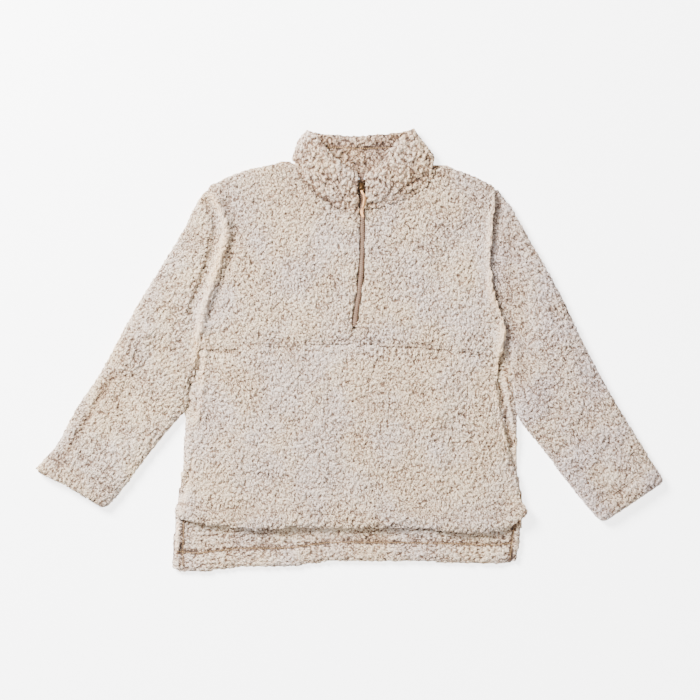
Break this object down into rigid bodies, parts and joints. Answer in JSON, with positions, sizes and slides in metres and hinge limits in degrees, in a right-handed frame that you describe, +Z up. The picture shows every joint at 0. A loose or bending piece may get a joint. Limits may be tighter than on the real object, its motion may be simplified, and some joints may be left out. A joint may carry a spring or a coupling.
{
  "type": "sherpa fleece pullover",
  "caption": "Frosted sherpa fleece pullover laid flat on its back, with a stand collar, a short zip with a strap pull, drop shoulders and a back hem longer than the front.",
  "frame": {"origin": "middle of the outline as it lies, on the surface that it rests on", "axes": "+X across the chest towards the right of the picture, +Y towards the collar, +Z up from the surface"},
  "size_m": [1.04, 0.7347, 0.0259],
  "materials": {
    "sherpa": "curled cream pile with brown roots",
    "zip_tape": "woven tape",
    "zip_coil": "moulded coil",
    "slider_metal": "antique, semi-matte",
    "pull_leather": "smooth tan strap, darker cut edges"
  },
  "bodies": {
    "garment": {"back": "sherpa", "front_lower": "sherpa", "front_upper_left": "sherpa", "front_upper_right": "sherpa", "sleeve_left": "sherpa", "sleeve_right": "sherpa", "collar": "sherpa", "zip_tape": "zip_tape", "zip_coil": "zip_coil", "zip_coil_top": "zip_coil", "zip_slider": "slider_metal"},
    "pull": {"zip_pull": "pull_leather"}
  },
  "joints": [
    {"name": "pull_lift", "type": "hinge", "parent": "garment", "child": "pull", "pos_m": [0.0187, 0.2708, 0.0168], "axis": [-1, 0, 0], "range_deg": [0, 150]}
  ]
}
